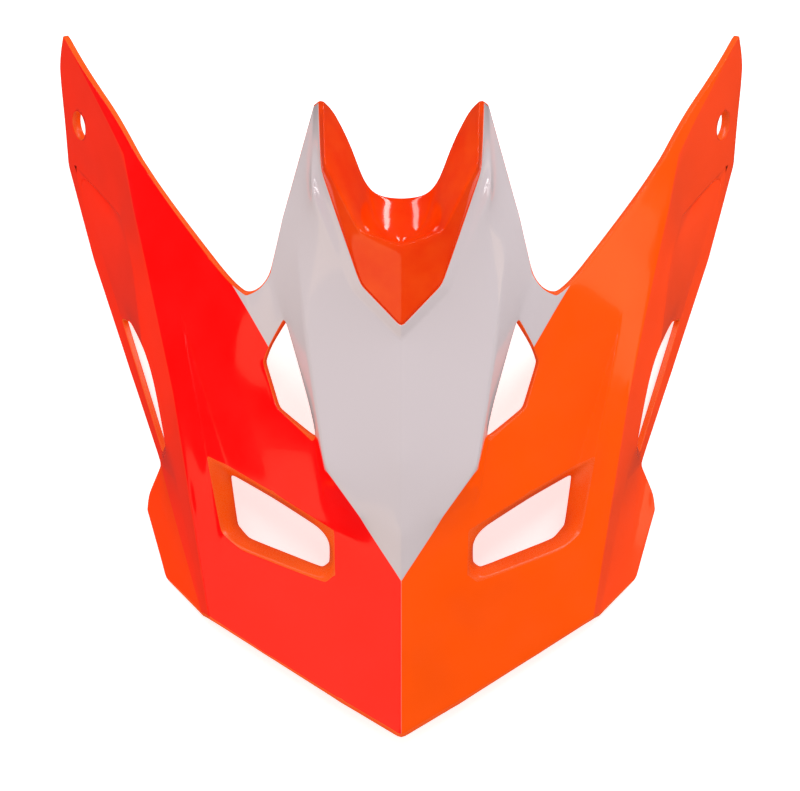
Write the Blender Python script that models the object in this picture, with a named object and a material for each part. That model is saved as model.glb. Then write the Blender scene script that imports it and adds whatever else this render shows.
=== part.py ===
"""Motocross helmet visor (peak): moulded shell, scoop insert and its two screws.

Frame: metres, +Z up, the visor resting on its arm and flare edges at z = 0.
The beak points along -Y, the arms trail towards +Y, and X = 0 is the plane of symmetry.
"""
import math

import bmesh
import bpy
from mathutils import Matrix, Vector
from mathutils.bvhtree import BVHTree

MM = 0.001

# Overall sizes of the visor, in millimetres.
SPAN = 270.0            # across the outsides of the two arms
LENGTH = 270.0          # arm tips to beak tip
HEIGHT = 109.0          # resting edges to the top of the prongs

# The design points below are drawn for this size and follow the overall sizes.
DRAWN_SPAN = 270.0
DRAWN_LENGTH = 270.0
DRAWN_HEIGHT = 109.0

# Shell.
WALL = 2.5              # moulded wall
SIDE_HOLE = 11.5        # fixing hole in each arm
SIDE_LAND = 21.0        # flat ring round that hole on the inside, which bears on the helmet
LAND_PROUD = 0.8        # least height of the ring above the inside of the wall
VENT_FLANGE = 7.0       # depth of the wall turned down round each front vent

# Scoop insert.
INSERT_WALL = 2.0
INSERT_GAP = 0.3        # least clearance all round the insert
SEAM_SPARE = 0.1        # added to it along the visible seam

# Screws that hold the insert, driven from below.
SCREW_SHANK = 2.6
SCREW_HEAD = 5.6
SCREW_HEAD_HEIGHT = 1.8
SCREW_LENGTH = 7.0      # under the head
SCREW_CLEARANCE = 0.3   # round the shank and under the head
BOSS_DIAMETER = 7.0     # on the underside of the insert
BOSS_INSET = 6.0        # boss axis to the seam, in plan
TAB_WIDTH = 9.0         # shell tab under each boss
TAB_THICKNESS = 2.4

SCREW_POINT = 1.2       # length of the tapered end
SCREW_DRIVE = 0.4       # recess, as a share of the head
BOSS_ALONG = 0.75       # where the boss stands on the seam's front edge: 0 is the nose

SUBDIVISIONS = 2
ROUND = 48              # facets round a hole
SCREW_ROUND = 24        # facets round a screw
CUT_PAST = 1.0          # how far a cutter runs past the surface it cuts
STEP = 0.1              # step of the search for the wall, and the distance that joins points
PAD_SAMPLES = 8         # places round the land where the wall is measured
RIM_CREASE = 0.85       # how crisp the edges of the walls are: 1 is a sharp corner
CORNER = 1.0            # the same for the corners of outlines

# Design points of the right half of the outer skin, in millimetres: (across, along, up).
SKIN = {
    # lower edge of the arm, from its tip forward
    "arm_tip": (132.4, 41.5, 37), "arm_low_1": (135.5, 34, 26), "arm_low_2": (134.5, 18, 14),
    "arm_low_3": (134, 1, 1), "arm_low_4": (122.5, -39, 0), "arm_low_5": (106.5, -85, 0),
    "notch": (93.5, -122, 0),
    # side flare
    "flare_1": (98.5, -134.5, 0), "flare_2": (98.5, -140, 0), "flare_3": (90.5, -167, 0),
    "flare_4": (75.5, -182.5, 6), "flare_top": (85.5, -132, 20),
    # outer crease between the side of the arm and the wing
    "crease_1": (113, 3.5, 45), "crease_2": (105.5, -12, 48), "crease_3": (101.5, -33, 45),
    "crease_4": (97, -52, 42), "crease_5": (85.5, -103, 38), "crease_6": (79, -142, 29),
    "crease_7": (72.5, -184.5, 10),
    # inner edge of the arm, the bridge and the outside of the prong
    "edge_1": (122.5, 22.8, 42), "edge_2": (111, 6, 49), "edge_3": (102, -10.5, 52),
    "edge_4": (98, -18, 53), "edge_5": (86, -36, 57), "edge_6": (70, -58, 62),
    "edge_7": (63, -67.5, 64.5), "edge_8": (57, -73, 67), "edge_9": (51.5, -71.5, 69),
    "edge_10": (48, -67, 72), "edge_11": (43, -49, 83), "edge_12": (31.5, -11, 97),
    # shallow pocket behind the side slot
    "pocket_out": (131.5, 0, 6.5), "pocket_mid": (120, -15, 17.5), "pocket_in": (108.5, -30.5, 29),
    "pocket_low": (129, -4, 7), "pocket_deep": (115, -20, 17), "pocket_4": (103, -50, 34),
    "ledge_4": (117.5, -41, 7),
    # side slot
    "slot_rear": (109.7, -65.5, 5.8), "slot_corner": (105.3, -68.5, 14),
    "slot_top": (98.6, -83, 29), "slot_knee": (94.4, -94, 29), "slot_front": (90, -119, 20),
    "slot_low": (92.6, -118.3, 5),
    # raised spear on the wing and the crease inboard of it
    "spear": (83.5, -71.5, 48), "rise_1": (62, -98, 51.5), "rise_2": (47.6, -142.5, 43.5),
    # front vent rim
    "vent_1": (72.2, -128, 38.5), "vent_2": (67.5, -153.5, 26), "vent_3": (60, -160, 27),
    "vent_4": (27.6, -174.3, 38.5), "vent_5": (24.6, -171.8, 41.5), "vent_6": (24.7, -157.2, 48),
    "vent_7": (65.3, -131, 36),
    # upper opening between the wing and the spine
    "gap_1": (42.4, -83, 69), "gap_2": (30.2, -124, 63), "gap_3": (32, -126, 60),
    "gap_4": (45.5, -113, 55), "gap_5": (50.5, -96.5, 57.5), "gap_6": (48.5, -91.5, 61),
    # spine
    "spine_1": (37.5, -58, 87), "spine_2": (34, -93, 78.5), "spine_3": (27.5, -138, 67.5),
    "spine_4": (14.5, -155, 60), "spine_foot": (28, -146, 54.5),
    # raised lip and seam round the insert
    "lip_1": (0, -95, 83), "lip_2": (17.5, -78, 88), "lip_3": (32, -45, 100),
    "seam_1": (0, -91, 86.5), "seam_2": (14.5, -76.5, 90.5), "seam_3": (28.5, -38, 103.5),
    "seam_4": (29.5, -13, 105.5),
    # beak
    "ridge_1": (0, -137, 71), "ridge_2": (0, -161, 60), "ridge_3": (0, -176, 49.5),
    "beak_tip": (0, -229.5, 13), "beak_1": (52, -197.5, 11.5), "beak_2": (22, -216.5, 12.5),
}

SKIN_FACES = [
    # side of the arm
    "arm_tip arm_low_1 arm_low_2 crease_1",
    "arm_low_2 arm_low_3 pocket_out pocket_mid crease_1",
    "crease_1 pocket_mid pocket_in crease_2", "crease_2 pocket_in crease_3",
    "pocket_out pocket_low pocket_deep pocket_mid", "pocket_mid pocket_deep pocket_in",
    "arm_low_3 arm_low_4 ledge_4 pocket_low pocket_out",
    "pocket_low ledge_4 pocket_4 pocket_deep", "pocket_deep pocket_4 pocket_in",
    "crease_3 pocket_in pocket_4 crease_4",
    "arm_low_4 arm_low_5 slot_rear ledge_4", "ledge_4 slot_rear slot_corner slot_top pocket_4",
    "pocket_4 slot_top slot_knee crease_5 crease_4",
    "slot_knee slot_front crease_5",
    "arm_low_5 notch slot_low slot_rear",
    "slot_low notch flare_top slot_front", "slot_front flare_top crease_6 crease_5",
    # side flare
    "notch flare_1 flare_2 flare_3 flare_4 flare_top",
    "flare_top flare_4 crease_7 crease_6",
    # inner panel of the arm
    "arm_tip crease_1 edge_2 edge_1", "crease_1 crease_2 edge_3 edge_2",
    "crease_2 crease_3 edge_5 edge_4 edge_3", "crease_3 crease_4 edge_6 edge_5",
    # wing
    "crease_4 spear edge_6", "crease_4 crease_5 spear", "crease_5 crease_6 vent_1 spear",
    "crease_6 crease_7 vent_2 vent_1", "spear vent_1 vent_7", "spear vent_7 rise_2 rise_1",
    "spear rise_1 edge_7 edge_6", "rise_1 gap_5 edge_8 edge_7", "rise_1 gap_4 gap_5",
    "rise_1 rise_2 gap_3 gap_4", "rise_2 vent_6 spine_foot gap_3",
    # bridge and spine
    "edge_8 gap_5 gap_6 edge_9", "edge_9 gap_6 gap_1 edge_10", "edge_10 gap_1 spine_2 spine_1",
    "edge_10 spine_1 edge_11", "gap_1 gap_2 spine_3 spine_2", "gap_2 gap_3 spine_foot spine_3",
    "spine_foot spine_4 spine_3", "edge_11 spine_1 lip_3 edge_12", "spine_1 spine_2 lip_2 lip_3",
    "spine_2 lip_1 lip_2", "spine_2 spine_3 ridge_1 lip_1", "spine_3 spine_4 ridge_2 ridge_1",
    "lip_1 seam_1 seam_2 lip_2", "lip_2 seam_2 seam_3 lip_3", "lip_3 seam_3 seam_4 edge_12",
    # beak
    "crease_7 beak_1 vent_3 vent_2", "beak_1 beak_2 vent_4 vent_3", "beak_2 vent_5 vent_4",
    "beak_2 beak_tip ridge_3 vent_5", "vent_5 ridge_3 vent_6", "vent_6 ridge_3 ridge_2 spine_4",
    "vent_6 spine_4 spine_foot",
]
# The front vent's rim, and how far the wall under it leans into the opening at its lower edge.
VENT_RIM = ["vent_1", "vent_2", "vent_3", "vent_4", "vent_5", "vent_6", "rise_2", "vent_7"]
VENT_LEAN = {"vent_1": (-8.5, -4.8), "vent_2": (-6, 4), "vent_3": (-2.8, 5.3), "vent_4": (1.5, 6.6),
             "vent_5": (2, 5.6), "vent_6": (1.7, -0.2), "rise_2": (0.4, -0.2)}
VENT_LOW = {key: key + "_low" for key in VENT_LEAN}
VENT_LOW["vent_7"] = "vent_1_low"
SIDE_HOLE_PLACE = (126.9, 9.4, 22.5)

# Lines that stay crisp, and how crisp: 1 is a sharp fold.
SKIN_CREASES = [
    ("arm_tip crease_1 crease_2 crease_3 crease_4 crease_5 crease_6 crease_7", 0.9),
    ("pocket_out pocket_mid pocket_in pocket_4 slot_top", 0.9),
    ("pocket_low pocket_deep pocket_in", 0.8), ("pocket_low ledge_4 slot_rear", 0.8),
    ("notch flare_top flare_4", 0.9), ("flare_top crease_6", 0.6),
    ("vent_7 spear vent_1", 0.9), ("rise_1 rise_2", 0.8), ("edge_8 gap_5", 0.6),
    ("spine_1 spine_2 spine_3 spine_4", 0.8), ("gap_3 spine_foot spine_4", 0.8),
    ("edge_10 gap_1", 0.4), ("edge_12 lip_3 lip_2 lip_1", 0.7),
    ("seam_1 lip_1", 0.9), ("seam_2 lip_2", 0.7), ("slot_low notch", 0.9),
    ("lip_1 ridge_1", 0.6), ("ridge_1 ridge_2", 0.6), ("ridge_2 ridge_3 beak_tip", 0.9),
    (" ".join(VENT_RIM + VENT_RIM[:1]), 0.9),
]
# Points of an edge where it bends smoothly instead of turning a corner.
SOFT_POINTS = set("""arm_low_1 arm_low_2 edge_1 edge_2 edge_3 edge_4 edge_5 edge_7 edge_8 edge_9
    edge_10 gap_6 gap_2 gap_3 crease_2 crease_3 lip_1 spine_1 flare_1 slot_knee""".split())

SEAM = ["seam_1", "seam_2", "seam_3", "seam_4"]

# Insert: rim, bowl and rear edge of its outer skin. Its seam comes from the shell.
INSERT = {
    "rim_1": (0, -66, 103), "rim_2": (15, -60, 102), "rim_3": (27, -38, 109),
    "rim_4": (27.5, -14.5, 109),
    "bowl_1": (0, -61, 85), "bowl_2": (10, -57, 86),
    "rear_1": (0, -42, 84), "rear_2": (8.5, -42, 85.5), "rear_3": (13.5, -37.5, 89),
    "rear_4": (17.5, -26, 95), "rear_5": (24.4, -13.5, 99),
}
INSERT_FACES = [
    "seam_1 rim_1 rim_2 seam_2", "seam_2 rim_2 rim_3 seam_3", "seam_3 rim_3 rim_4 seam_4",
    "rim_1 bowl_1 bowl_2 rim_2", "rim_2 bowl_2 rear_3", "rim_2 rear_3 rear_4 rim_3",
    "rim_3 rear_4 rear_5 rim_4", "bowl_1 rear_1 rear_2 bowl_2", "bowl_2 rear_2 rear_3",
]
INSERT_CREASES = [
    ("rim_1 rim_2 rim_3 rim_4", 0.8),
    ("seam_1 rim_1", 0.8), ("seam_3 rim_3", 0.6), ("bowl_1 bowl_2", 0.3),
]
INSERT_SOFT = {"rear_2", "rear_3", "rear_4", "rear_5", "bowl_2"}


def clear_scene():
    for item in list(bpy.data.objects):
        bpy.data.objects.remove(item, do_unlink=True)


def place(point):
    """A drawn point, in metres, at the overall sizes set above."""
    return Vector((point[0] * SPAN / DRAWN_SPAN, point[1] * LENGTH / DRAWN_LENGTH,
                   point[2] * HEIGHT / DRAWN_HEIGHT)) * MM


def plastic(name, colour, roughness=0.25, metallic=0.0):
    material = bpy.data.materials.new(name)
    material.use_nodes = True
    shader = material.node_tree.nodes["Principled BSDF"]
    shader.inputs["Base Color"].default_value = (*colour, 1.0)
    shader.inputs["Roughness"].default_value = roughness
    shader.inputs["Metallic"].default_value = metallic
    material.diffuse_color = (*colour, 1.0)
    return material


def add_object(name, mesh, material=None):
    piece = bpy.data.objects.new(name, mesh)
    bpy.context.scene.collection.objects.link(piece)
    if material:
        mesh.materials.append(material)
    return piece


def cage(name, points, faces, creases, soft):
    """A half skin as a mesh: named points, faces given by name, folds and corners."""
    work = bmesh.new()
    folds = work.edges.layers.float.new("crease_edge")
    corners = work.verts.layers.float.new("crease_vert")
    verts = {key: work.verts.new(where) for key, where in points.items()}
    for face in faces:
        work.faces.new([verts[key] for key in face.split()])
    bmesh.ops.recalc_face_normals(work, faces=work.faces[:])
    if sum(face.normal.z * face.calc_area() for face in work.faces) < 0:
        bmesh.ops.reverse_faces(work, faces=work.faces[:])
    for line, strength in creases:
        keys = line.split()
        for first, second in zip(keys, keys[1:]):
            work.edges.get((verts[first], verts[second]))[folds] = strength
    for key, vert in verts.items():
        turns = any(edge.is_boundary or edge[folds] > 0.0 for edge in vert.link_edges)
        vert[corners] = CORNER if turns and key not in soft else 0.0
    normals = {key: vert.normal.copy() for key, vert in verts.items()}
    mesh = bpy.data.meshes.new(name)
    work.to_mesh(mesh)
    work.free()
    return mesh, normals


def thicken(name, half, thickness, offset=-1.0):
    """A closed body from a half skin: both halves, a wall of even thickness, and smooth curvature."""
    piece = add_object(name, half)
    mirror = piece.modifiers.new("both halves", "MIRROR")
    mirror.use_clip = True
    mirror.merge_threshold = STEP * MM
    wall = piece.modifiers.new("wall", "SOLIDIFY")
    wall.thickness = thickness
    wall.offset = offset
    wall.use_even_offset = True
    wall.edge_crease_inner = RIM_CREASE
    wall.edge_crease_outer = RIM_CREASE
    wall.material_offset_rim = 1
    half.materials.append(None)
    half.materials.append(None)
    bpy.context.view_layer.update()
    solid = bpy.data.meshes.new_from_object(piece.evaluated_get(bpy.context.evaluated_depsgraph_get()))
    piece.modifiers.clear()
    piece.data = solid
    work = bmesh.new()
    work.from_mesh(solid)
    folds = work.edges.layers.float["crease_edge"]
    corners = work.verts.layers.float["crease_vert"]
    for edge in work.edges:
        across = all(face.material_index == 1 for face in edge.link_faces)
        if across and min(vert[corners] for vert in edge.verts) > 0.0:
            edge[folds] = RIM_CREASE
    for face in work.faces:
        face.material_index = 0
    work.to_mesh(solid)
    work.free()
    solid.materials.clear()
    smooth = piece.modifiers.new("curvature", "SUBSURF")
    smooth.levels = SUBDIVISIONS
    smooth.render_levels = SUBDIVISIONS
    smooth.boundary_smooth = "PRESERVE_CORNERS"
    return piece


def combine(piece, other, operation):
    change = piece.modifiers.new(operation.lower(), "BOOLEAN")
    change.operation = operation
    change.object = other


def tool_body(name, work):
    """A hidden body used to add to or cut another."""
    mesh = bpy.data.meshes.new(name)
    work.to_mesh(mesh)
    work.free()
    body = add_object(name, mesh)
    body.display_type = "WIRE"
    body.hide_render = True
    return body


def add_cylinder(work, radius, start, end):
    axis = end - start
    turn = axis.to_track_quat("Z", "Y").to_matrix().to_4x4()
    where = Matrix.Translation((start + end) / 2) @ turn
    bmesh.ops.create_cone(work, cap_ends=True, segments=ROUND, radius1=radius, radius2=radius,
                          depth=axis.length, matrix=where)


def shell_skin():
    points = {key: place(point) for key, point in SKIN.items()}
    for key, (across, along) in VENT_LEAN.items():
        points[VENT_LOW[key]] = points[key] + Vector((across, along, -VENT_FLANGE)) * MM
    faces = list(SKIN_FACES)
    for first, second in zip(VENT_RIM, VENT_RIM[1:] + VENT_RIM[:1]):
        wall = dict.fromkeys([first, second, VENT_LOW[second], VENT_LOW[first]])
        faces.append(" ".join(wall))
    return points, faces


def shell_body(name, points, faces, thickness, offset=-1.0):
    half, normals = cage(name, points, faces, SKIN_CREASES, SOFT_POINTS)
    return thicken(name, half, thickness, offset), normals


def seam_inset(points, normals, distance):
    """The seam points, moved into the opening by a distance in metres."""
    inside = place(INSERT["rim_2"])
    moved = {}
    for index, key in enumerate(SEAM):
        before = points[SEAM[max(index - 1, 0)]]
        after = points[SEAM[min(index + 1, len(SEAM) - 1)]]
        up = normals[key].copy()
        along = after - before
        if index == 0:
            up.x = 0.0
            along = Vector((1.0, 0.0, 0.0))
        up.normalize()
        away = up.cross(along).normalized()
        if away.dot(inside - points[key]) < 0:
            away.negate()
        moved[key] = points[key] + away * distance
    return moved


def insert_body(shell_points, normals):
    points = {key: place(point) for key, point in INSERT.items()}
    points.update(seam_inset(shell_points, normals, (INSERT_GAP + SEAM_SPARE) * MM))
    half, _ = cage("scoop_insert", points, INSERT_FACES, INSERT_CREASES, INSERT_SOFT)
    return thicken("scoop_insert", half, INSERT_WALL * MM)


def grown_shell(points, faces, normals):
    """The shell, grown by the clearance all round, to keep the insert off it everywhere."""
    grown_points = {**points, **seam_inset(points, normals, INSERT_GAP * MM)}
    wall = WALL + 2 * INSERT_GAP
    grown, _ = shell_body("shell_clearance", grown_points, faces, wall * MM, 2 * INSERT_GAP / wall - 1.0)
    grown.display_type = "WIRE"
    grown.hide_render = True
    return grown


def top_surface(piece):
    """A function giving the height of a finished piece's top surface above a place in plan."""
    bpy.context.view_layer.update()
    tree = BVHTree.FromObject(piece, bpy.context.evaluated_depsgraph_get())

    def height(across, along):
        return tree.ray_cast(Vector((across, along, 1.0)), Vector((0.0, 0.0, -1.0)))[0].z

    return height


def fixing(points):
    """The right-hand screw axis in plan, the way out of the seam, and the top of the shell tab."""
    near = points["seam_1"].lerp(points["seam_2"], BOSS_ALONG)
    along = (points["seam_2"] - points["seam_1"]).to_2d().normalized()
    out = Vector((along.y, -along.x))
    axis = near.to_2d() - out * BOSS_INSET * MM
    return axis, out, points["seam_1"].z - (INSERT_WALL + 2 * INSERT_GAP) * MM


def both_sides(axis):
    return [(axis, 1.0), (Vector((-axis.x, axis.y)), -1.0)]


def tab_reach(axis, out, top, skin):
    """How far a tab runs outwards from its screw axis to end inside the sloping shell wall."""
    across = Vector((-out.y, out.x)) * TAB_WIDTH / 2 * MM
    reach = (BOSS_INSET + WALL) * MM
    while min(skin(*(axis + out * reach + across * side)) for side in (-1, 0, 1)) > top + WALL / 2 * MM:
        reach += STEP * MM
    return reach


def shell_tabs(axis, out, top, reach):
    """The tab under each insert boss, running back into the shell wall."""
    work = bmesh.new()
    lead = TAB_WIDTH / 2 * MM
    for where, side in both_sides(axis):
        way = Vector((out.x * side, out.y))
        centre = where + way * (reach - lead) / 2
        turn = Matrix.Rotation(math.atan2(way.y, way.x), 4, "Z")
        size = Matrix.Diagonal((reach + lead, TAB_WIDTH * MM, TAB_THICKNESS * MM, 1.0))
        lift = Matrix.Translation((centre.x, centre.y, top - TAB_THICKNESS / 2 * MM))
        bmesh.ops.create_cube(work, size=1.0, matrix=lift @ turn @ size)
    return tool_body("tabs", work)


def upright(name, axis, radius, low, high):
    """A pair of upright cylinders, one on each screw axis, ending under a surface."""
    work = bmesh.new()
    for where, _ in both_sides(axis):
        foot = where.to_3d() + Vector((0, 0, low))
        add_cylinder(work, radius, foot, foot + Vector((0, 0, MM)))
    for vert in work.verts:
        if vert.co.z > low + MM / 2:
            vert.co.z = high(vert.co.x, vert.co.y)
    return tool_body(name, work)


def level(height):
    """A flat top at one height, for use where a surface is expected."""
    return lambda across, along: height


def arm_pad(points, shell):
    """The right-hand fixing hole: its centre, the pad's outward normal, and the depth of its land."""
    first = points["crease_1"] - points["arm_low_2"]
    second = points["pocket_mid"] - points["arm_low_2"]
    normal = first.cross(second).normalized()
    if normal.x < 0:
        normal.negate()
    centre = place(SIDE_HOLE_PLACE)
    tree = BVHTree.FromObject(shell, bpy.context.evaluated_depsgraph_get())
    across = normal.orthogonal().normalized() * SIDE_LAND / 2 * MM
    start = -normal * SIDE_LAND * MM
    depths = []
    for step in range(PAD_SAMPLES):
        edge = centre + Matrix.Rotation(step * math.tau / PAD_SAMPLES, 3, normal) @ across
        inside = tree.ray_cast(edge + start, normal)[0]
        depths.append((centre - inside).dot(normal))
    return centre, normal, max(depths) + LAND_PROUD * MM


def pad_cylinders(name, pad, diameter, low, high):
    """A cylinder square to each arm's pad, between two depths measured outwards from its centre."""
    centre, normal, _ = pad
    work = bmesh.new()
    for side in (1.0, -1.0):
        middle = Vector((centre.x * side, centre.y, centre.z))
        way = Vector((normal.x * side, normal.y, normal.z))
        add_cylinder(work, diameter / 2 * MM, middle + way * low, middle + way * high)
    return tool_body(name, work)


def screw(name, where, seat):
    """A pan-head screw, head down, its head bearing under the shell tab."""
    radius = SCREW_SHANK / 2
    head = SCREW_HEAD / 2
    drive = head * SCREW_DRIVE
    recess = -SCREW_HEAD_HEIGHT * (1 - SCREW_DRIVE)
    profile = [(0.0, SCREW_LENGTH), (radius / 2, SCREW_LENGTH), (radius, SCREW_LENGTH - SCREW_POINT),
               (radius, 0.0), (head, 0.0), (head, recess), (2 * drive, -SCREW_HEAD_HEIGHT),
               (drive, -SCREW_HEAD_HEIGHT), (drive, recess), (0.0, recess)]
    work = bmesh.new()
    verts = [work.verts.new((across * MM, 0.0, up * MM)) for across, up in profile]
    edges = [work.edges.new(pair) for pair in zip(verts, verts[1:])]
    bmesh.ops.spin(work, geom=verts + edges, cent=(0, 0, 0), axis=(0, 0, 1), angle=math.tau,
                   steps=SCREW_ROUND, use_merge=True)
    bmesh.ops.remove_doubles(work, verts=work.verts[:], dist=STEP * MM / 10)
    bmesh.ops.recalc_face_normals(work, faces=work.faces[:])
    mesh = bpy.data.meshes.new(name)
    work.to_mesh(mesh)
    work.free()
    piece = add_object(name, mesh, plastic(name + "_steel", (0.5, 0.5, 0.52), 0.3, 1.0))
    piece.location = (where.x, where.y, seat)


def stand_on_origin(shell):
    """Everything moves together, so that the shell's box stands centred on the origin."""
    bpy.context.view_layer.update()
    box = shell.evaluated_get(bpy.context.evaluated_depsgraph_get()).bound_box
    low, high = Vector(box[0]), Vector(box[6])
    base = bpy.data.objects.new("visor_frame", None)
    bpy.context.scene.collection.objects.link(base)
    base.location = (0.0, -(low.y + high.y) / 2, -low.z)
    for item in bpy.data.objects:
        if item is not base:
            item.parent = base


def main():
    clear_scene()
    points, faces = shell_skin()
    shell, normals = shell_body("visor_shell", points, faces, WALL * MM)
    shell.data.materials.append(plastic("shell_plastic", (0.95, 0.12, 0.01)))
    insert = insert_body(points, normals)
    insert.data.materials.append(plastic("insert_plastic", (0.9, 0.1, 0.01), 0.15))
    skin = top_surface(shell)
    roof = top_surface(insert)
    pad = arm_pad(points, shell)
    combine(insert, grown_shell(points, faces, normals), "DIFFERENCE")

    axis, out, top = fixing(points)
    boss_low = top + INSERT_GAP * MM
    hole = SCREW_SHANK / 2 + SCREW_CLEARANCE
    seat = top - (TAB_THICKNESS + SCREW_CLEARANCE) * MM
    screw_end = seat + SCREW_LENGTH * MM

    def boss_top(across, along):
        return roof(across, along) - INSERT_WALL / 2 * MM

    bosses = upright("bosses", axis, BOSS_DIAMETER / 2 * MM, boss_low, boss_top)
    pilots = upright("pilot_holes", axis, hole * MM, boss_low - CUT_PAST * MM,
                     level(screw_end + SCREW_CLEARANCE * MM))
    tabs = shell_tabs(axis, out, top, tab_reach(axis, out, top, skin))
    tab_holes = upright("tab_holes", axis, hole * MM, top - (TAB_THICKNESS + CUT_PAST) * MM,
                        level(top + CUT_PAST * MM))
    lands = pad_cylinders("side_lands", pad, SIDE_LAND, -pad[2], WALL * MM - pad[2])
    holes = pad_cylinders("side_holes", pad, SIDE_HOLE, -SIDE_LAND * MM, SIDE_LAND * MM)
    combine(insert, bosses, "UNION")
    combine(insert, pilots, "DIFFERENCE")
    combine(shell, tabs, "UNION")
    combine(shell, tab_holes, "DIFFERENCE")
    combine(shell, lands, "UNION")
    combine(shell, holes, "DIFFERENCE")
    for (where, _), label in zip(both_sides(axis), ("right", "left")):
        screw("insert_screw_" + label, where, seat)
    stand_on_origin(shell)


if __name__ == "__main__":
    main()
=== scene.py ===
"""Looks of the motocross helmet visor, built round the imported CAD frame.

The shell and the scoop insert are rebuilt from the same control points as their CAD solids, with finer
curvature, rounded rims and crisp folds. The screws are the CAD's own.
Frame: metres, +Z up, beak towards -Y, symmetric about X = 0. Control points are in millimetres.
"""
import math

import bmesh
import bpy
from mathutils import Matrix, Vector
from mathutils.bvhtree import BVHTree


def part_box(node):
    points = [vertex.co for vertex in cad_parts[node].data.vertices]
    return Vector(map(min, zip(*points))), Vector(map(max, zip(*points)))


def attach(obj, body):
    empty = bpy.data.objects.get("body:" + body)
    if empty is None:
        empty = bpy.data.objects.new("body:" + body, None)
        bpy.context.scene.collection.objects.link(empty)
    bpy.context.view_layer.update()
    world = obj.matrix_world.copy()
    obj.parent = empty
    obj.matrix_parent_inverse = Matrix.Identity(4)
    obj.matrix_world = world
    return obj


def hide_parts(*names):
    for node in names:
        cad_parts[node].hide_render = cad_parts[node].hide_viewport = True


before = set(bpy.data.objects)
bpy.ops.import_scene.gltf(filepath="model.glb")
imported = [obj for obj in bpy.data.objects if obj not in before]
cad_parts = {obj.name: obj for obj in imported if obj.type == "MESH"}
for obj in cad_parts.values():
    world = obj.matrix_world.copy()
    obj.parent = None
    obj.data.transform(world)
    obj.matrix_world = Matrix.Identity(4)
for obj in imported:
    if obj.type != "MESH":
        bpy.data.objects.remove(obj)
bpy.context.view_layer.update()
SHELL_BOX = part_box("visor_shell")

MM = 0.001

# Sizes of the real part, in millimetres, as in the CAD.
WALL = 2.5
SIDE_HOLE = 11.5
SIDE_LAND = 21.0
LAND_PROUD = 0.8        # least height of the land above the inside of the wall
VENT_FLANGE = 7.0
INSERT_WALL = 2.0
INSERT_GAP = 0.3
SEAM_SPARE = 0.1        # added to the insert's gap along the seam
SCREW_SHANK = 2.6
SCREW_CLEARANCE = 0.3
SCREW_REACH = 4.3       # of the screw above the tab, pilot hole included
BOSS_DIAMETER = 7.0
BOSS_INSET = 6.0
BOSS_ALONG = 0.75       # where the boss stands on the seam's front edge: 0 is the nose
TAB_WIDTH = 9.0
TAB_THICKNESS = 2.4

# How fine the shapes are.
SUBDIVISIONS = 4
ROUND = 96              # facets round a hole
RIM_ROUND = 0.5         # crease of the wall's long edges: their corners come out rounded
RIM_CORNER = 0.85       # crease across the wall at the corners of outlines
CORNER = 0.9            # crease of those corners themselves
CRISP = 0.55            # folds at least this strong are shaded as an edge
OUTER = 0               # material slots: the outer skin, and all else
BARE = 1
INWARDS = -1.0          # the wall grows in from the skin
CUT_PAST = 1.0          # how far a cutter runs past the surface it cuts
STEP = 0.1              # step of the search for the wall
JOIN = 0.1              # points this close are joined across the middle
PAD_SAMPLES = 8         # places round the land where the wall is measured
EDGE_ANGLE = math.radians(30)   # a sharper turn is shaded as an edge
QUAD = 4                # corners of a side face: the round ends have more
FROM_ABOVE = 1.0        # start of a downward ray, in metres

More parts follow.
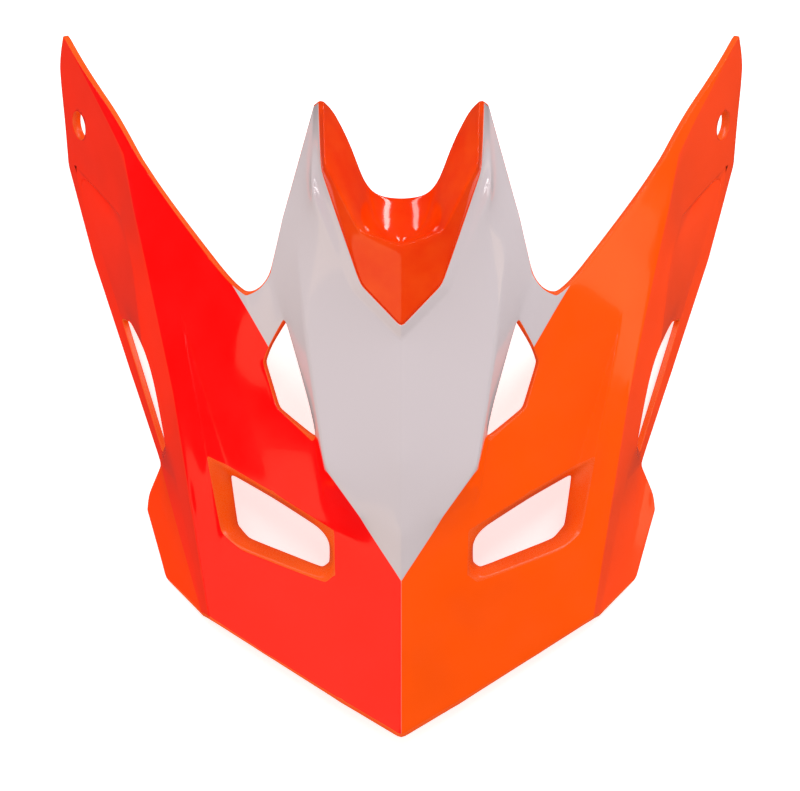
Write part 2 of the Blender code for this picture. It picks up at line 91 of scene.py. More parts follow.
# Design points of the right half of the outer skin, in millimetres: (across, along, up).
SKIN = {
    # lower edge of the arm, from its tip forward
    "arm_tip": (132.4, 41.5, 37), "arm_low_1": (135.5, 34, 26), "arm_low_2": (134.5, 18, 14),
    "arm_low_3": (134, 1, 1), "arm_low_4": (122.5, -39, 0), "arm_low_5": (106.5, -85, 0),
    "notch": (93.5, -122, 0),
    # side flare
    "flare_1": (98.5, -134.5, 0), "flare_2": (98.5, -140, 0), "flare_3": (90.5, -167, 0),
    "flare_4": (75.5, -182.5, 6), "flare_top": (85.5, -132, 20),
    # outer crease between the side of the arm and the wing
    "crease_1": (113, 3.5, 45), "crease_2": (105.5, -12, 48), "crease_3": (101.5, -33, 45),
    "crease_4": (97, -52, 42), "crease_5": (85.5, -103, 38), "crease_6": (79, -142, 29),
    "crease_7": (72.5, -184.5, 10),
    # inner edge of the arm, the bridge and the outside of the prong
    "edge_1": (122.5, 22.8, 42), "edge_2": (111, 6, 49), "edge_3": (102, -10.5, 52),
    "edge_4": (98, -18, 53), "edge_5": (86, -36, 57), "edge_6": (70, -58, 62),
    "edge_7": (63, -67.5, 64.5), "edge_8": (57, -73, 67), "edge_9": (51.5, -71.5, 69),
    "edge_10": (48, -67, 72), "edge_11": (43, -49, 83), "edge_12": (31.5, -11, 97),
    # shallow pocket behind the side slot
    "pocket_out": (131.5, 0, 6.5), "pocket_mid": (120, -15, 17.5), "pocket_in": (108.5, -30.5, 29),
    "pocket_low": (129, -4, 7), "pocket_deep": (115, -20, 17), "pocket_4": (103, -50, 34),
    "ledge_4": (117.5, -41, 7),
    # side slot
    "slot_rear": (109.7, -65.5, 5.8), "slot_corner": (105.3, -68.5, 14),
    "slot_top": (98.6, -83, 29), "slot_knee": (94.4, -94, 29), "slot_front": (90, -119, 20),
    "slot_low": (92.6, -118.3, 5),
    # raised spear on the wing and the crease inboard of it
    "spear": (83.5, -71.5, 48), "rise_1": (62, -98, 51.5), "rise_2": (47.6, -142.5, 43.5),
    # front vent rim
    "vent_1": (72.2, -128, 38.5), "vent_2": (67.5, -153.5, 26), "vent_3": (60, -160, 27),
    "vent_4": (27.6, -174.3, 38.5), "vent_5": (24.6, -171.8, 41.5), "vent_6": (24.7, -157.2, 48),
    "vent_7": (65.3, -131, 36),
    # upper opening between the wing and the spine
    "gap_1": (42.4, -83, 69), "gap_2": (30.2, -124, 63), "gap_3": (32, -126, 60),
    "gap_4": (45.5, -113, 55), "gap_5": (50.5, -96.5, 57.5), "gap_6": (48.5, -91.5, 61),
    # spine
    "spine_1": (37.5, -58, 87), "spine_2": (34, -93, 78.5), "spine_3": (27.5, -138, 67.5),
    "spine_4": (14.5, -155, 60), "spine_foot": (28, -146, 54.5),
    # raised lip and seam round the insert
    "lip_1": (0, -95, 83), "lip_2": (17.5, -78, 88), "lip_3": (32, -45, 100),
    "seam_1": (0, -91, 86.5), "seam_2": (14.5, -76.5, 90.5), "seam_3": (28.5, -38, 103.5),
    "seam_4": (29.5, -13, 105.5),
    # beak
    "ridge_1": (0, -137, 71), "ridge_2": (0, -161, 60), "ridge_3": (0, -176, 49.5),
    "beak_tip": (0, -229.5, 13), "beak_1": (52, -197.5, 11.5), "beak_2": (22, -216.5, 12.5),
}

SKIN_FACES = [
    # side of the arm
    "arm_tip arm_low_1 arm_low_2 crease_1",
    "arm_low_2 arm_low_3 pocket_out pocket_mid crease_1",
    "crease_1 pocket_mid pocket_in crease_2", "crease_2 pocket_in crease_3",
    "pocket_out pocket_low pocket_deep pocket_mid", "pocket_mid pocket_deep pocket_in",
    "arm_low_3 arm_low_4 ledge_4 pocket_low pocket_out",
    "pocket_low ledge_4 pocket_4 pocket_deep", "pocket_deep pocket_4 pocket_in",
    "crease_3 pocket_in pocket_4 crease_4",
    "arm_low_4 arm_low_5 slot_rear ledge_4", "ledge_4 slot_rear slot_corner slot_top pocket_4",
    "pocket_4 slot_top slot_knee crease_5 crease_4",
    "slot_knee slot_front crease_5",
    "arm_low_5 notch slot_low slot_rear",
    "slot_low notch flare_top slot_front", "slot_front flare_top crease_6 crease_5",
    # side flare
    "notch flare_1 flare_2 flare_3 flare_4 flare_top",
    "flare_top flare_4 crease_7 crease_6",
    # inner panel of the arm
    "arm_tip crease_1 edge_2 edge_1", "crease_1 crease_2 edge_3 edge_2",
    "crease_2 crease_3 edge_5 edge_4 edge_3", "crease_3 crease_4 edge_6 edge_5",
    # wing
    "crease_4 spear edge_6", "crease_4 crease_5 spear", "crease_5 crease_6 vent_1 spear",
    "crease_6 crease_7 vent_2 vent_1", "spear vent_1 vent_7", "spear vent_7 rise_2 rise_1",
    "spear rise_1 edge_7 edge_6", "rise_1 gap_5 edge_8 edge_7", "rise_1 gap_4 gap_5",
    "rise_1 rise_2 gap_3 gap_4", "rise_2 vent_6 spine_foot gap_3",
    # bridge and spine
    "edge_8 gap_5 gap_6 edge_9", "edge_9 gap_6 gap_1 edge_10", "edge_10 gap_1 spine_2 spine_1",
    "edge_10 spine_1 edge_11", "gap_1 gap_2 spine_3 spine_2", "gap_2 gap_3 spine_foot spine_3",
    "spine_foot spine_4 spine_3", "edge_11 spine_1 lip_3 edge_12", "spine_1 spine_2 lip_2 lip_3",
    "spine_2 lip_1 lip_2", "spine_2 spine_3 ridge_1 lip_1", "spine_3 spine_4 ridge_2 ridge_1",
    "lip_1 seam_1 seam_2 lip_2", "lip_2 seam_2 seam_3 lip_3", "lip_3 seam_3 seam_4 edge_12",
    # beak
    "crease_7 beak_1 vent_3 vent_2", "beak_1 beak_2 vent_4 vent_3", "beak_2 vent_5 vent_4",
    "beak_2 beak_tip ridge_3 vent_5", "vent_5 ridge_3 vent_6", "vent_6 ridge_3 ridge_2 spine_4",
    "vent_6 spine_4 spine_foot",
]
# The front vent's rim, and how far the wall under it leans into the opening at its lower edge.
VENT_RIM = ["vent_1", "vent_2", "vent_3", "vent_4", "vent_5", "vent_6", "rise_2", "vent_7"]
VENT_LEAN = {"vent_1": (-8.5, -4.8), "vent_2": (-6, 4), "vent_3": (-2.8, 5.3), "vent_4": (1.5, 6.6),
             "vent_5": (2, 5.6), "vent_6": (1.7, -0.2), "rise_2": (0.4, -0.2)}
VENT_LOW = {key: key + "_low" for key in VENT_LEAN}
VENT_LOW["vent_7"] = "vent_1_low"
SIDE_HOLE_PLACE = (126.9, 9.4, 22.5)

# Lines that stay crisp, and how crisp: 1 is a sharp fold.
SKIN_CREASES = [
    ("arm_tip crease_1 crease_2 crease_3 crease_4 crease_5 crease_6 crease_7", 0.9),
    ("pocket_out pocket_mid pocket_in pocket_4 slot_top", 0.9),
    ("pocket_low pocket_deep pocket_in", 0.8), ("pocket_low ledge_4 slot_rear", 0.8),
    ("notch flare_top flare_4", 0.9), ("flare_top crease_6", 0.6),
    ("vent_7 spear vent_1", 0.9), ("rise_1 rise_2", 0.8), ("edge_8 gap_5", 0.6),
    ("spine_1 spine_2 spine_3 spine_4", 0.8), ("gap_3 spine_foot spine_4", 0.8),
    ("edge_10 gap_1", 0.4), ("edge_12 lip_3 lip_2 lip_1", 0.7),
    ("seam_1 lip_1", 0.9), ("seam_2 lip_2", 0.7), ("slot_low notch", 0.9),
    ("lip_1 ridge_1", 0.6), ("ridge_1 ridge_2", 0.6), ("ridge_2 ridge_3 beak_tip", 0.9),
    (" ".join(VENT_RIM + VENT_RIM[:1]), 0.9),
]
# Points of an edge where it bends smoothly instead of turning a corner.
SOFT_POINTS = set("""arm_low_1 arm_low_2 edge_1 edge_2 edge_3 edge_4 edge_5 edge_7 edge_8 edge_9
    edge_10 gap_6 gap_2 gap_3 crease_2 crease_3 lip_1 spine_1 flare_1 slot_knee""".split())

SEAM = ["seam_1", "seam_2", "seam_3", "seam_4"]

# Insert: rim, bowl and rear edge of its outer skin. Its seam comes from the shell.
INSERT = {
    "rim_1": (0, -66, 103), "rim_2": (15, -60, 102), "rim_3": (27, -38, 109),
    "rim_4": (27.5, -14.5, 109),
    "bowl_1": (0, -61, 85), "bowl_2": (10, -57, 86),
    "rear_1": (0, -42, 84), "rear_2": (8.5, -42, 85.5), "rear_3": (13.5, -37.5, 89),
    "rear_4": (17.5, -26, 95), "rear_5": (24.4, -13.5, 99),
}
INSERT_FACES = [
    "seam_1 rim_1 rim_2 seam_2", "seam_2 rim_2 rim_3 seam_3", "seam_3 rim_3 rim_4 seam_4",
    "rim_1 bowl_1 bowl_2 rim_2", "rim_2 bowl_2 rear_3", "rim_2 rear_3 rear_4 rim_3",
    "rim_3 rear_4 rear_5 rim_4", "bowl_1 rear_1 rear_2 bowl_2", "bowl_2 rear_2 rear_3",
]
INSERT_CREASES = [
    ("rim_1 rim_2 rim_3 rim_4", 0.8),
    ("seam_1 rim_1", 0.8), ("seam_3 rim_3", 0.6), ("bowl_1 bowl_2", 0.3),
]
INSERT_SOFT = {"rear_2", "rear_3", "rear_4", "rear_5", "bowl_2"}


def place(point):
    """A point in millimetres as a vector in metres."""
    return Vector(point) * MM


def add_object(name, mesh):
    piece = bpy.data.objects.new(name, mesh)
    bpy.context.scene.collection.objects.link(piece)
    return piece


def evaluated(piece):
    """A mesh of the piece with its modifiers applied."""
    bpy.context.view_layer.update()
    return bpy.data.meshes.new_from_object(piece.evaluated_get(bpy.context.evaluated_depsgraph_get()))


def slotted(name, work):
    """A finished bmesh as a mesh with a slot for the outer finish and one for the bare plastic."""
    mesh = bpy.data.meshes.new(name)
    mesh.materials.append(None)
    mesh.materials.append(None)
    work.to_mesh(mesh)
    work.free()
    return mesh


def cage(name, points, faces, creases, soft):
    """A half skin as a mesh: named points, faces given by name, folds and corners."""
    work = bmesh.new()
    folds = work.edges.layers.float.new("crease_edge")
    corners = work.verts.layers.float.new("crease_vert")
    verts = {key: work.verts.new(where) for key, where in points.items()}
    for face in faces:
        made = work.faces.new([verts[key] for key in face.split()])
        vent_wall = any(key in VENT_LOW.values() for key in face.split())
        made.material_index = BARE if vent_wall else OUTER
    bmesh.ops.recalc_face_normals(work, faces=work.faces[:])
    if sum(face.normal.z * face.calc_area() for face in work.faces) < 0:
        bmesh.ops.reverse_faces(work, faces=work.faces[:])
    for line, strength in creases:
        keys = line.split()
        for first, second in zip(keys, keys[1:]):
            fold = work.edges.get((verts[first], verts[second]))
            fold[folds] = strength
            fold.smooth = strength < CRISP
    for key, vert in verts.items():
        turns = any(edge.is_boundary or edge[folds] > 0.0 for edge in vert.link_edges)
        vert[corners] = CORNER if turns and key not in soft else 0.0
    normals = {key: vert.normal.copy() for key, vert in verts.items()}
    return slotted(name, work), normals


def thicken(name, half, thickness):
    """A closed body from a half skin: both halves, a wall of even thickness, and smooth curvature."""
    piece = add_object(name, half)
    mirror = piece.modifiers.new("both halves", "MIRROR")
    mirror.use_clip = True
    mirror.merge_threshold = JOIN * MM
    outer = len(evaluated(piece).polygons)
    wall = piece.modifiers.new("wall", "SOLIDIFY")
    wall.thickness = thickness
    wall.offset = INWARDS
    wall.use_even_offset = True
    wall.edge_crease_inner = RIM_ROUND
    wall.edge_crease_outer = RIM_ROUND
    solid = evaluated(piece)
    piece.modifiers.clear()
    piece.data = solid
    work = bmesh.new()
    work.from_mesh(solid)
    work.faces.ensure_lookup_table()
    folds = work.edges.layers.float["crease_edge"]
    corners = work.verts.layers.float["crease_vert"]
    for face in work.faces[outer:]:
        face.material_index = BARE
    rims = set(work.faces[2 * outer:])
    for edge in work.edges:
        across = all(face in rims for face in edge.link_faces)
        if across and min(vert[corners] for vert in edge.verts) > 0.0:
            edge[folds] = RIM_CORNER
    for face in work.faces:
        face.smooth = True
    work.to_mesh(solid)
    work.free()
    smooth = piece.modifiers.new("curvature", "SUBSURF")
    smooth.levels = SUBDIVISIONS
    smooth.render_levels = SUBDIVISIONS
    smooth.boundary_smooth = "PRESERVE_CORNERS"
    piece.data = evaluated(piece)
    piece.modifiers.clear()
    return piece


def combine(piece, other, operation):
    """Adds another body to the piece, or cuts it away, and drops that body."""
    change = piece.modifiers.new(operation.lower(), "BOOLEAN")
    change.operation = operation
    change.object = other
    piece.data = evaluated(piece)
    piece.modifiers.clear()
    bpy.data.objects.remove(other, do_unlink=True)


def tool_body(name, work):
    """A body used to add to or cut another, all in bare plastic."""
    for face in work.faces:
        face.material_index = BARE
        face.smooth = len(face.verts) == QUAD
    for edge in work.edges:
        if edge.calc_face_angle(0.0) > EDGE_ANGLE:
            edge.smooth = False
    return add_object(name, slotted(name, work))


def add_cylinder(work, radius, start, end):
    """Adds a cylinder between two points, in metres, to a bmesh."""
    axis = end - start
    turn = axis.to_track_quat("Z", "Y").to_matrix().to_4x4()
    where = Matrix.Translation((start + end) / 2) @ turn
    bmesh.ops.create_cone(work, cap_ends=True, segments=ROUND, radius1=radius, radius2=radius,
                          depth=axis.length, matrix=where)


def shell_skin():
    """The shell's points in metres, and its faces, with the vents' walls."""
    points = {key: place(point) for key, point in SKIN.items()}
    for key, (across, along) in VENT_LEAN.items():
        points[VENT_LOW[key]] = points[key] + place((across, along, -VENT_FLANGE))
    faces = list(SKIN_FACES)
    for first, second in zip(VENT_RIM, VENT_RIM[1:] + VENT_RIM[:1]):
        wall = dict.fromkeys([first, second, VENT_LOW[second], VENT_LOW[first]])
        faces.append(" ".join(wall))
    return points, faces


def shell_body(name, points, faces, thickness):
    """The whole shell, and its skin's normals at the named points."""
    half, normals = cage(name, points, faces, SKIN_CREASES, SOFT_POINTS)
    return thicken(name, half, thickness), normals


def seam_inset(points, normals, distance):
    """The seam points, moved into the opening by a distance in metres."""
    inside = place(INSERT["rim_2"])
    moved = {}
    for index, key in enumerate(SEAM):
        before = points[SEAM[max(index - 1, 0)]]
        after = points[SEAM[min(index + 1, len(SEAM) - 1)]]
        up = normals[key].copy()
        along = after - before
        if index == 0:
            up.x = 0.0
            along = Vector((1.0, 0.0, 0.0))
        up.normalize()
        away = up.cross(along).normalized()
        if away.dot(inside - points[key]) < 0:
            away.negate()
        moved[key] = points[key] + away * distance
    return moved


def insert_body(shell_points, normals):
    """The whole insert, whose outer edge follows the shell's seam."""
    points = {key: place(point) for key, point in INSERT.items()}
    points.update(seam_inset(shell_points, normals, (INSERT_GAP + SEAM_SPARE) * MM))
    half, _ = cage("scoop_moulding", points, INSERT_FACES, INSERT_CREASES, INSERT_SOFT)
    return thicken("scoop_moulding", half, INSERT_WALL * MM)


def top_surface(piece):
    """A function giving the height of a piece's top surface above a place in plan."""
    tree = BVHTree.FromObject(piece, bpy.context.evaluated_depsgraph_get())

    def height(across, along):
        return tree.ray_cast(Vector((across, along, FROM_ABOVE)), Vector((0.0, 0.0, -1.0)))[0].z

    return height


def fixing(points):
    """The right-hand screw axis in plan, the way out of the seam, and the top of the shell tab."""
    near = points["seam_1"].lerp(points["seam_2"], BOSS_ALONG)
    along = (points["seam_2"] - points["seam_1"]).to_2d().normalized()
    out = Vector((along.y, -along.x))
    axis = near.to_2d() - out * BOSS_INSET * MM
    return axis, out, points["seam_1"].z - (INSERT_WALL + 2 * INSERT_GAP) * MM


def both_sides(axis):
    """The right and left screw axes, each with the sign of its side."""
    return [(axis, 1.0), (Vector((-axis.x, axis.y)), -1.0)]


def tab_reach(axis, out, top, skin):
    """How far a tab runs outwards from its screw axis to end inside the sloping shell wall."""
    across = Vector((-out.y, out.x)) * TAB_WIDTH / 2 * MM
    reach = (BOSS_INSET + WALL) * MM
    while min(skin(*(axis + out * reach + across * side)) for side in (-1, 0, 1)) > top + WALL / 2 * MM:
        reach += STEP * MM
    return reach


def shell_tabs(axis, out, top, reach):
    """The tab under each insert boss, running back into the shell wall."""
    work = bmesh.new()
    lead = TAB_WIDTH / 2 * MM
    for where, side in both_sides(axis):
        way = Vector((out.x * side, out.y))
        centre = where + way * (reach - lead) / 2
        turn = Matrix.Rotation(math.atan2(way.y, way.x), 4, "Z")
        size = Matrix.Diagonal((reach + lead, TAB_WIDTH * MM, TAB_THICKNESS * MM, 1.0))
        lift = Matrix.Translation((centre.x, centre.y, top - TAB_THICKNESS / 2 * MM))
        bmesh.ops.create_cube(work, size=1.0, matrix=lift @ turn @ size)
    return tool_body("tabs", work)


def upright(name, axis, radius, low, high):
    """A pair of upright cylinders, one on each screw axis, drawn out to meet the surface above."""
    work = bmesh.new()
    for where, _ in both_sides(axis):
        foot = where.to_3d() + Vector((0, 0, low))
        add_cylinder(work, radius, foot, foot + Vector((0, 0, MM)))
    for vert in work.verts:
        if vert.co.z > low + MM / 2:
            vert.co.z = high(vert.co.x, vert.co.y)
    return tool_body(name, work)


def level(height):
    """A flat top at one height, for use where a surface is expected."""
    return lambda across, along: height


def arm_pad(points, shell):
    """The right-hand fixing hole: its centre, the pad's outward normal, and the depth of its land."""
    first = points["crease_1"] - points["arm_low_2"]
    second = points["pocket_mid"] - points["arm_low_2"]
    normal = first.cross(second).normalized()
    if normal.x < 0:
        normal.negate()
    centre = place(SIDE_HOLE_PLACE)
    tree = BVHTree.FromObject(shell, bpy.context.evaluated_depsgraph_get())
    across = normal.orthogonal().normalized() * SIDE_LAND / 2 * MM
    start = -normal * SIDE_LAND * MM
    depths = []
    for step in range(PAD_SAMPLES):
        edge = centre + Matrix.Rotation(step * math.tau / PAD_SAMPLES, 3, normal) @ across
        inside = tree.ray_cast(edge + start, normal)[0]
        depths.append((centre - inside).dot(normal))
    return centre, normal, max(depths) + LAND_PROUD * MM


def pad_cylinders(name, centre, normal, diameter, low, high):
    """A cylinder square to each arm's pad, between two depths measured outwards from its centre."""
    work = bmesh.new()
    for side in (1.0, -1.0):
        middle = Vector((centre.x * side, centre.y, centre.z))
        way = Vector((normal.x * side, normal.y, normal.z))
        add_cylinder(work, diameter / 2 * MM, middle + way * low, middle + way * high)
    return tool_body(name, work)


def build_mouldings():
    """The shell and the insert, in the frame of their control points."""
    points, faces = shell_skin()
    shell, normals = shell_body("shell_moulding", points, faces, WALL * MM)
    insert = insert_body(points, normals)
    skin = top_surface(shell)
    roof = top_surface(insert)
    centre, normal, land = arm_pad(points, shell)
    axis, out, top = fixing(points)
    boss_low = top + INSERT_GAP * MM
    hole = (SCREW_SHANK / 2 + SCREW_CLEARANCE) * MM

    def boss_top(across, along):
        return roof(across, along) - INSERT_WALL / 2 * MM

    combine(insert, upright("bosses", axis, BOSS_DIAMETER / 2 * MM, boss_low, boss_top), "UNION")
    pilot_top = level(top + SCREW_REACH * MM)
    combine(insert, upright("pilot_holes", axis, hole, boss_low - CUT_PAST * MM, pilot_top), "DIFFERENCE")
    combine(shell, shell_tabs(axis, out, top, tab_reach(axis, out, top, skin)), "UNION")
    tab_low = top - (TAB_THICKNESS + CUT_PAST) * MM
    combine(shell, upright("tab_holes", axis, hole, tab_low, level(top + CUT_PAST * MM)), "DIFFERENCE")
    lands = pad_cylinders("side_lands", centre, normal, SIDE_LAND, -land, WALL * MM - land)
    combine(shell, lands, "UNION")
    reach = SIDE_LAND * MM
    holes = pad_cylinders("side_holes", centre, normal, SIDE_HOLE, -reach, reach)
    combine(shell, holes, "DIFFERENCE")
    return shell, insert


def into_frame(shell, insert):
    """Moves both mouldings so that the shell lies in its CAD solid's box. Returns the move."""
    heights = [vert.co.z for vert in shell.data.vertices]
    alongs = [vert.co.y for vert in shell.data.vertices]
    low, high = SHELL_BOX
    move = Vector((0.0, (low.y + high.y - min(alongs) - max(alongs)) / 2, low.z - min(heights)))
    for piece in (shell, insert):
        piece.location = move
    return move


# Colours as sRGB, 0 to 255.
RED = (255, 0, 0)
ORANGE = (255, 84, 0)
CORAL = (252, 46, 20)
CORAL_RIGHT = (255, 74, 26)
FLARE = (252, 62, 8)
WHITE = (222, 212, 218)
MOULDED = (252, 84, 8)
SCOOP = (246, 54, 0)
STEEL = (176, 178, 182)
MOULDED_PALE = (255, 96, 20)    # where the melt flowed thinner
SCOOP_PALE = (255, 76, 8)
TABLE = (250, 250, 250)
TABLE_REFLECTED = (60, 60, 60)
PURE_WHITE = (255, 255, 255)
BLACK = (0, 0, 0)

# Light given off, as a share of the colour, whatever the lamps: painted glow. The film's stands in for
# its real fluorescence; the bare moulding and the insert glow though they are no lamps. The table's
# reaches the camera only.
FILM_PAINTED_GLOW = 0.2
MOULDED_PAINTED_GLOW = 0.1
SCOOP_PAINTED_GLOW = 0.06
TABLE_GLOW = 0.6

# Heights of the paint's relief, as shares of its depth.
STRIP_FILM = 0.6        # the strips' film beside the white one
FILM_STEP = 0.5
PEEL_HEIGHT = 0.12

# Where one paint ends and the next begins: (along, across), in millimetres of the control points.
WHITE_EDGE = [(-176, 0), (-155, 14.5), (-138, 27.5), (-127, 30), (-91.5, 48.5), (-68, 62.5), (45, 62.5)]
STRIP_EDGE = [(-184.5, 72.5), (-142, 79), (-103, 85.5), (-52, 97), (-33, 101.5), (-12, 105.5),
              (3.5, 113), (41, 132)]
FLARE_EDGE = [(-182.5, 75.5), (-122, 93.5), (-121.9, 140)]
EDGE_LOW = -235.0       # range of the boundary curves along the part
EDGE_HIGH = 45.0
EDGE_WIDE = 140.0       # their range across it
EDGE_BLUR = 0.12        # half width of the transition, in millimetres


def linear(colour):
    """An sRGB colour as the linear one that shaders take."""
    values = [value / 255 for value in colour]
    return tuple(v / 12.92 if v <= 0.04045 else ((v + 0.055) / 1.055) ** 2.4 for v in values) + (1.0,)


# Where nearly all of a noise texture lies.
NOISE_LOW = 0.3
NOISE_HIGH = 0.7


class Shading:
    """A material's node tree, with short ways to add to it."""

    def __init__(self, name):
        self.material = bpy.data.materials.new(name)
        self.material.use_nodes = True
        self.tree = self.material.node_tree
        self.shader = self.tree.nodes["Principled BSDF"]

    def add(self, kind, inputs=None, **settings):
        """Adds a node, with its settings and inputs."""
        node = self.tree.nodes.new(kind)
        for key, value in settings.items():
            setattr(node, key, value)
        for key, value in (inputs or {}).items():
            self.feed(node.inputs[key], value)
        return node

    def feed(self, socket, value):
        """Sets a socket to a value, or links another socket to it."""
        if isinstance(value, bpy.types.NodeSocket):
            self.tree.links.new(value, socket)
        else:
            socket.default_value = value

    def reckon(self, operation, *values):
        """Arithmetic on numbers and sockets."""
        return self.add("ShaderNodeMath", dict(enumerate(values)), operation=operation).outputs[0]

    def blend(self, share, first, second):
        """A mix of two colours."""
        node = self.add("ShaderNodeMix", data_type="RGBA")
        self.feed(node.inputs["Factor"], share)
        self.feed(node.inputs["A"], first)
        self.feed(node.inputs["B"], second)
        return node.outputs["Result"]

    def rise(self, value, low, high, to_low=0.0, to_high=1.0):
        """A smooth step or stretch from one range to another, clamped."""
        node = self.add("ShaderNodeMapRange", {"Value": value, "From Min": low, "From Max": high,
                                               "To Min": to_low, "To Max": to_high})
        return node.outputs["Result"]

    def noise(self, where, scale, detail=2.0):
        """Noise of about this many lumps per millimetre."""
        inputs = {"Vector": where, "Scale": scale, "Detail": detail}
        return self.add("ShaderNodeTexNoise", inputs).outputs["Fac"]

    def spread(self, noise, to_low=0.0, to_high=1.0):
        """Noise stretched over a whole range."""
        return self.rise(noise, NOISE_LOW, NOISE_HIGH, to_low, to_high)

    def surface(self, values):
        """Sets or feeds the surface shader's sockets."""
        for key, value in values.items():
            self.feed(self.shader.inputs[key], value)

    def border(self, along, edge):
        """The boundary's distance from the middle, as a function of the place along the part."""
        share = self.rise(along, EDGE_LOW, EDGE_HIGH)
        node = self.add("ShaderNodeFloatCurve", {"Value": share})
        curve = node.mapping.curves[0]
        spots = [((y - EDGE_LOW) / (EDGE_HIGH - EDGE_LOW), x / EDGE_WIDE) for y, x in edge]
        curve.points[0].location = (0.0, spots[0][1])
        curve.points[1].location = (1.0, spots[-1][1])
        for spot in spots:
            if 0.0 < spot[0] < 1.0:
                curve.points.new(*spot)
        for point in curve.points:
            point.handle_type = "VECTOR"
        node.mapping.update()
        return self.reckon("MULTIPLY", node.outputs[0], EDGE_WIDE)

    def finish(self, gloss, height, depth, round_edges):
        """Surface relief in metres, over rounded folds."""
        bevel = self.add("ShaderNodeBevel", {"Radius": round_edges}, samples=4)
        bump = self.add("ShaderNodeBump", {"Height": height, "Distance": depth, "Strength": 1.0,
                                           "Normal": bevel.outputs["Normal"]})
        self.feed(self.shader.inputs["Normal"], bump.outputs["Normal"])
        self.feed(self.shader.inputs["Roughness"], gloss)
        return self.material


def millimetres(shade):
    """The place on the piece in millimetres of the control points, whole and as its three parts."""
    where = shade.add("ShaderNodeTexCoord").outputs["Object"]
    scaled = shade.add("ShaderNodeVectorMath", {0: where, "Scale": 1 / MM}, operation="SCALE").outputs[0]
    return scaled, shade.add("ShaderNodeSeparateXYZ", {0: scaled}).outputs


def painted():
    """The shell's outer skin: glossy film in five colours over the orange moulding."""
    shade = Shading("painted_shell")
    where, (across, along, _) = millimetres(shade)
    side = shade.reckon("ABSOLUTE", across)
    left = shade.rise(across, EDGE_BLUR, -EDGE_BLUR)

    def outside(edge):
        border = shade.border(along, edge)
        return shade.rise(shade.reckon("SUBTRACT", side, border), -EDGE_BLUR, EDGE_BLUR)

    white = shade.reckon("SUBTRACT", 1.0, outside(WHITE_EDGE))
    strip = outside(STRIP_EDGE)
    flare = outside(FLARE_EDGE)
    wing = shade.blend(left, linear(ORANGE), linear(RED))
    strips = shade.blend(left, linear(CORAL_RIGHT), linear(CORAL))
    flares = shade.blend(left, linear(CORAL_RIGHT), linear(FLARE))
    colour = shade.blend(strip, wing, strips)
    colour = shade.blend(flare, colour, flares)
    cloud = shade.noise(where, scale=0.035)
    light = shade.spread(cloud, to_low=0.96, to_high=1.04)
    tinted = shade.add("ShaderNodeHueSaturation", {"Color": colour, "Saturation": 1.0, "Value": light})
    glow = tinted.outputs["Color"]
    colour = shade.blend(white, glow, linear(WHITE))
    # Painted glow: the coloured film gives off light of its own colour whatever the lamps, standing in
    # for its fluorescence; the white film gives none.
    shade.surface({"Base Color": colour, "Emission Color": shade.blend(white, glow, linear(BLACK)),
                   "Emission Strength": FILM_PAINTED_GLOW, "IOR": 1.5, "Coat Weight": 0.35,
                   "Coat Roughness": 0.03})
    film = shade.reckon("ADD", white, shade.reckon("MULTIPLY", strip, STRIP_FILM))
    peel = shade.noise(where, scale=0.45, detail=3.0)
    steps = shade.reckon("MULTIPLY", film, FILM_STEP)
    relief = shade.reckon("ADD", steps, shade.reckon("MULTIPLY", peel, PEEL_HEIGHT))
    smear = shade.noise(where, scale=0.06, detail=4.0)
    gloss = shade.spread(smear, to_low=0.09, to_high=0.17)
    return shade.finish(gloss, relief, depth=0.08 * MM, round_edges=0.6 * MM)


def moulded():
    """Bare orange plastic on the inside, on the rims and in the vents, with the mould's fine grain."""
    shade = Shading("bare_shell")
    where, _ = millimetres(shade)
    flow = shade.noise(where, scale=0.05, detail=4.0)
    colour = shade.blend(shade.spread(flow), linear(MOULDED), linear(MOULDED_PALE))
    # Painted glow: the bare plastic gives off a little light of its own colour, though it is no lamp.
    shade.surface({"Base Color": colour, "Emission Color": colour, "Emission Strength": MOULDED_PAINTED_GLOW,
                   "IOR": 1.5})
    grain = shade.noise(where, scale=4.0, detail=3.0)
    gloss = shade.spread(grain, to_low=0.22, to_high=0.34)
    return shade.finish(gloss, grain, depth=0.02 * MM, round_edges=0.4 * MM)


def scoop_plastic():
    """The insert: deep glossy self-coloured orange."""
    shade = Shading("scoop_plastic")
    where, _ = millimetres(shade)
    flow = shade.noise(where, scale=0.06, detail=3.0)
    colour = shade.blend(shade.spread(flow), linear(SCOOP), linear(SCOOP_PALE))
    # Painted glow: the insert gives off a little light of its own colour, though it is no lamp.
    shade.surface({"Base Color": colour, "Emission Color": colour, "Emission Strength": SCOOP_PAINTED_GLOW,
                   "IOR": 1.55, "Coat Weight": 0.2, "Coat Roughness": 0.02})
    peel = shade.noise(where, scale=0.5, detail=2.0)
    smear = shade.noise(where, scale=0.09, detail=4.0)
    gloss = shade.spread(smear, to_low=0.06, to_high=0.13)
    return shade.finish(gloss, peel, depth=0.01 * MM, round_edges=0.5 * MM)


def zinc():
    """Zinc-plated steel with the rings of its turning."""
    shade = Shading("zinc_steel")
    where, _ = millimetres(shade)
    shade.surface({"Base Color": linear(STEEL), "Metallic": 1.0})
    mottle = shade.noise(where, scale=1.5, detail=4.0)
    rings = shade.add("ShaderNodeTexWave", {"Vector": where, "Scale": 3.0, "Distortion": 1.0},
                      bands_direction="Z").outputs["Fac"]
    gloss = shade.spread(mottle, to_low=0.24, to_high=0.42)
    return shade.finish(gloss, rings, depth=0.02 * MM, round_edges=0.15 * MM)


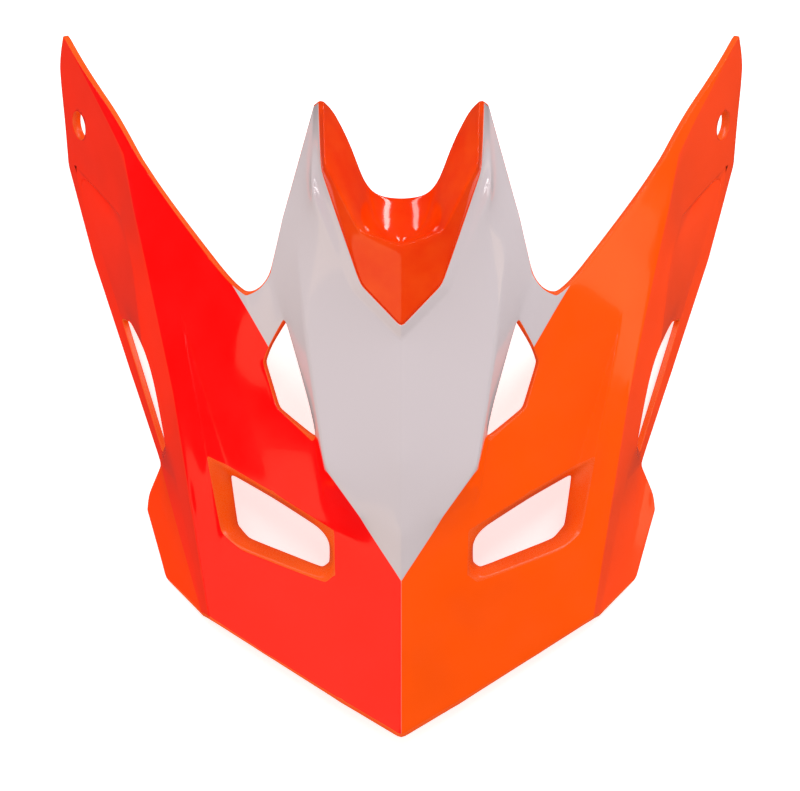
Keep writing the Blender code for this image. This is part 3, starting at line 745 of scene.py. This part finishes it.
def matte_floor():
    """A white table that glows to the camera and shows dark in the plastic's reflections."""
    shade = Shading("floor")
    where, _ = millimetres(shade)
    ray = shade.add("ShaderNodeLightPath").outputs
    glow = shade.rise(ray["Is Camera Ray"], 0.0, 1.0, 0.0, TABLE_GLOW)
    shade.surface({"Base Color": linear(TABLE), "Emission Color": linear(PURE_WHITE),
                   "Emission Strength": glow})
    grain = shade.noise(where, scale=0.8, detail=2.0)
    gloss = shade.spread(grain, to_low=0.75, to_high=0.9)
    material = shade.finish(gloss, grain, depth=0.02 * MM, round_edges=MM)
    dark = shade.add("ShaderNodeEmission", {"Color": linear(TABLE_REFLECTED)})
    shaders = {0: ray["Is Glossy Ray"], 1: shade.shader.outputs[0], 2: dark.outputs[0]}
    mixed = shade.add("ShaderNodeMixShader", shaders)
    shade.feed(shade.tree.nodes["Material Output"].inputs["Surface"], mixed.outputs[0])
    return material


def dress(piece, *materials):
    """Puts each material in its slot. Clearing the slots would lose which faces are bare."""
    slots = piece.data.materials
    for index, material in enumerate(materials):
        if index < len(slots):
            slots[index] = material
        else:
            slots.append(material)


# Studio, in metres. The table's rim lies outside the picture.
TABLE_RADIUS = 6.0
TABLE_SIDES = 128
LAMPS_AIM = (0.0, 0.0, 0.05)
PLAIN = (1.0, 1.0, 1.0)
WARM = (1.0, 0.66, 0.36)
LAMPS = {               # size, place, watts and tint
    "strip_right": ((0.12, 1.9), (0.5, 0.6, 1.15), 7.5, PLAIN),
    "strip_left": ((0.12, 1.9), (-0.5, 0.6, 1.15), 4.5, PLAIN),
    "front_left": ((1.3, 1.0), (-0.85, -0.9, 0.6), 3.4, WARM),
    "low_right": ((0.6, 0.4), (1.0, 0.15, 0.35), 0.8, WARM),
}
ROOM = 0.52             # brightness of the surroundings, and the same as seen in reflections
ROOM_REFLECTED = 0.05

# The photograph's viewpoint.
VIEW_POINT = (-0.45, -107.0, 50.0)      # aimed at, in millimetres of the control points
VIEW_DISTANCE = 0.82
VIEW_ELEVATION = math.radians(76.0)
LENS = 100.0
SENSOR = 36.0
NEAREST = 0.01


def add_floor():
    """The table, which is no part of the object."""
    bpy.ops.mesh.primitive_circle_add(vertices=TABLE_SIDES, radius=TABLE_RADIUS, fill_type="NGON")
    floor = bpy.context.object
    floor.name = "floor"
    dress(floor, matte_floor())


def facing(way):
    """The rotation that makes a lamp or camera look against a direction."""
    return way.to_track_quat("Z", "Y").to_euler()


def add_lamp(name, size, where, watts, tint):
    """An oblong lamp, turned to the middle of the object."""
    light = bpy.data.lights.new(name, "AREA")
    light.color = tint
    light.shape = "RECTANGLE"
    light.size, light.size_y = size
    light.energy = watts
    lamp = bpy.data.objects.new(name, light)
    lamp.location = where
    lamp.rotation_euler = facing(Vector(where) - Vector(LAMPS_AIM))
    bpy.context.scene.collection.objects.link(lamp)


def add_room():
    """Even light from all round, hardly seen in reflections."""
    world = bpy.data.worlds.new("studio")
    world.use_nodes = True
    tree = world.node_tree
    back = tree.nodes["Background"]
    back.inputs["Color"].default_value = (*PLAIN, 1.0)
    path = tree.nodes.new("ShaderNodeLightPath")
    share = tree.nodes.new("ShaderNodeMapRange")
    share.inputs["To Min"].default_value = ROOM
    share.inputs["To Max"].default_value = ROOM_REFLECTED
    tree.links.new(path.outputs["Is Glossy Ray"], share.inputs["Value"])
    tree.links.new(share.outputs["Result"], back.inputs["Strength"])
    bpy.context.scene.world = world


def add_camera(move):
    """Looks down over the beak, as the photograph does."""
    camera = bpy.data.objects.new("camera", bpy.data.cameras.new("camera"))
    camera.data.lens = LENS
    camera.data.sensor_width = SENSOR
    camera.data.clip_start = NEAREST
    back = Vector((0.0, -math.cos(VIEW_ELEVATION), math.sin(VIEW_ELEVATION)))
    camera.location = place(VIEW_POINT) + move + back * VIEW_DISTANCE
    camera.rotation_euler = facing(back)
    bpy.context.scene.collection.objects.link(camera)
    bpy.context.scene.camera = camera


def main():
    """The mouldings in the CAD's frame, their looks, and the studio round them."""
    bpy.context.scene.view_settings.view_transform = "Standard"
    shell, insert = build_mouldings()
    move = into_frame(shell, insert)
    dress(shell, painted(), moulded())
    scoop = scoop_plastic()
    dress(insert, scoop, scoop)
    for piece, node, slot in ((shell, "visor_shell", "shell_plastic"),
                              (insert, "scoop_insert", "insert_plastic")):
        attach(piece, "root")
        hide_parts(node)
    steel = zinc()
    for name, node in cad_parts.items():
        if name.startswith("insert_screw"):
            dress(node, steel)
    add_floor()
    for name, lamp in LAMPS.items():
        add_lamp(name, *lamp)
    add_room()
    add_camera(move)


main()
